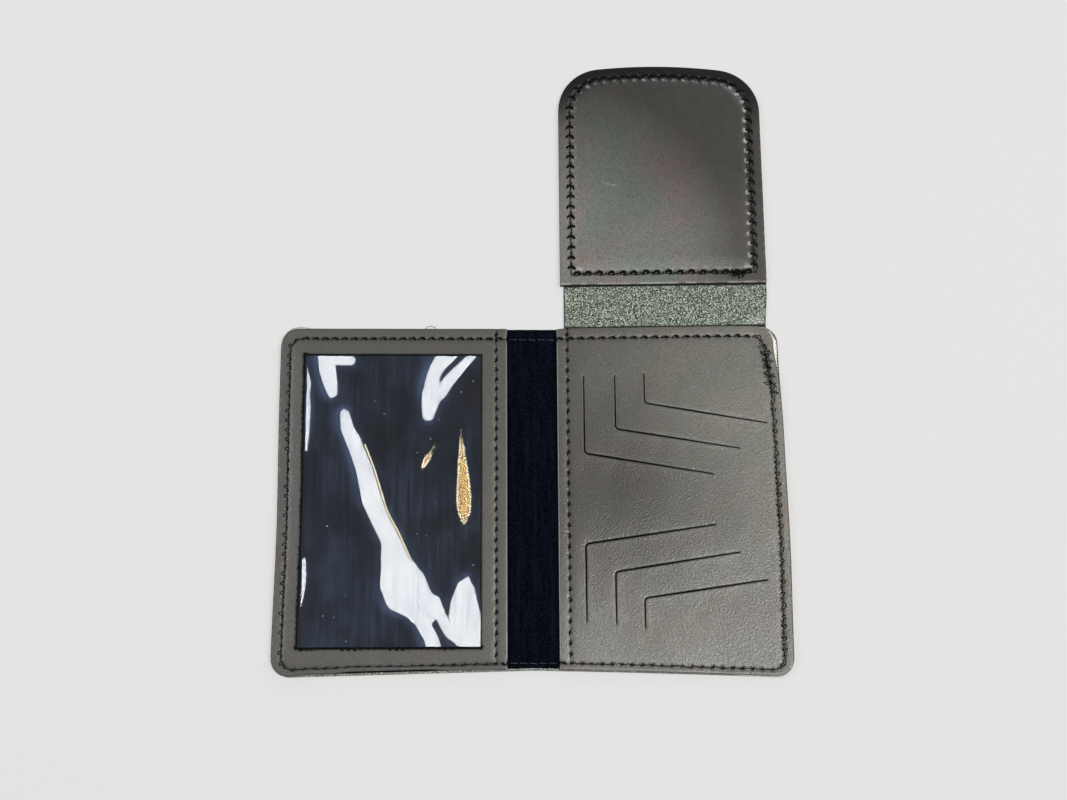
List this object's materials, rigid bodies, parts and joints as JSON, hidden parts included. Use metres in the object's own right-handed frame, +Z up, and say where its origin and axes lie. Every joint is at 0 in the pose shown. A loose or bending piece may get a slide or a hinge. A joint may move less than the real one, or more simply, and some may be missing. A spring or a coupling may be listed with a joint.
{
  "type": "badge and identity card wallet",
  "caption": "Book-fold leather wallet lying open, with a clear card window in one half, angled card slits in the other, and a stitched badge flap that folds down over the slits.",
  "frame": {"origin": "middle of the wallet as it lies open, on the surface it lies on", "axes": "+X from the window half to the card half, +Y from the halves towards the flap, +Z up out of the open face"},
  "size_m": [0.181, 0.228, 0.0031],
  "materials": {
    "cover_leather": "smooth grain outside, green-grey flesh side inside",
    "inner_leather": "smooth semi-matt grain",
    "flap_leather": "smooth grain with a soft gloss",
    "lining_cloth": "dark navy fine weave",
    "clear_film": "clear glossy sheet, slightly wavy",
    "fibre_board": "plain board, hidden inside the flap",
    "black_thread": "twisted polyester sewing thread"
  },
  "bodies": {
    "card_side": {"cover_card_side": "cover_leather", "lining_card_side": "lining_cloth", "card_panel": "inner_leather", "edge_thread_card_side": "black_thread", "top_thread_card_side": "black_thread", "fold_thread_card_side": "black_thread", "edge_thread_card_side_back": "black_thread"},
    "spine": {"cover_spine": "cover_leather", "lining_spine": "lining_cloth", "edge_thread_spine": "black_thread", "top_thread_spine": "black_thread", "edge_thread_spine_back": "black_thread"},
    "window_side": {"cover_window_side": "cover_leather", "lining_window_side": "lining_cloth", "window_frame": "inner_leather", "window_film": "clear_film", "edge_thread_window_side": "black_thread", "top_thread_window_side": "black_thread", "fold_thread_window_side": "black_thread", "edge_thread_window_side_back": "black_thread"},
    "flap": {"cover_flap": "cover_leather", "flap_face": "flap_leather", "flap_board": "fibre_board", "flap_thread_face": "black_thread", "flap_thread_back": "black_thread"}
  },
  "joints": [
    {"name": "spine_fold", "type": "hinge", "parent": "card_side", "child": "spine", "pos_m": [0.0084, 0, 0.0015], "axis": [0, 1, 0], "range_deg": [0, 90]},
    {"name": "window_fold", "type": "hinge", "parent": "spine", "child": "window_side", "pos_m": [-0.0084, 0, 0.0015], "axis": [0, 1, 0], "range_deg": [0, 90]},
    {"name": "flap_fold", "type": "hinge", "parent": "card_side", "child": "flap", "pos_m": [0.0485, 0.0125, 0.0031], "axis": [1, 0, 0], "range_deg": [0, 180]}
  ],
  "couplings": [
    {"joint": "window_fold", "follows": "spine_fold", "ratio": 1}
  ]
}
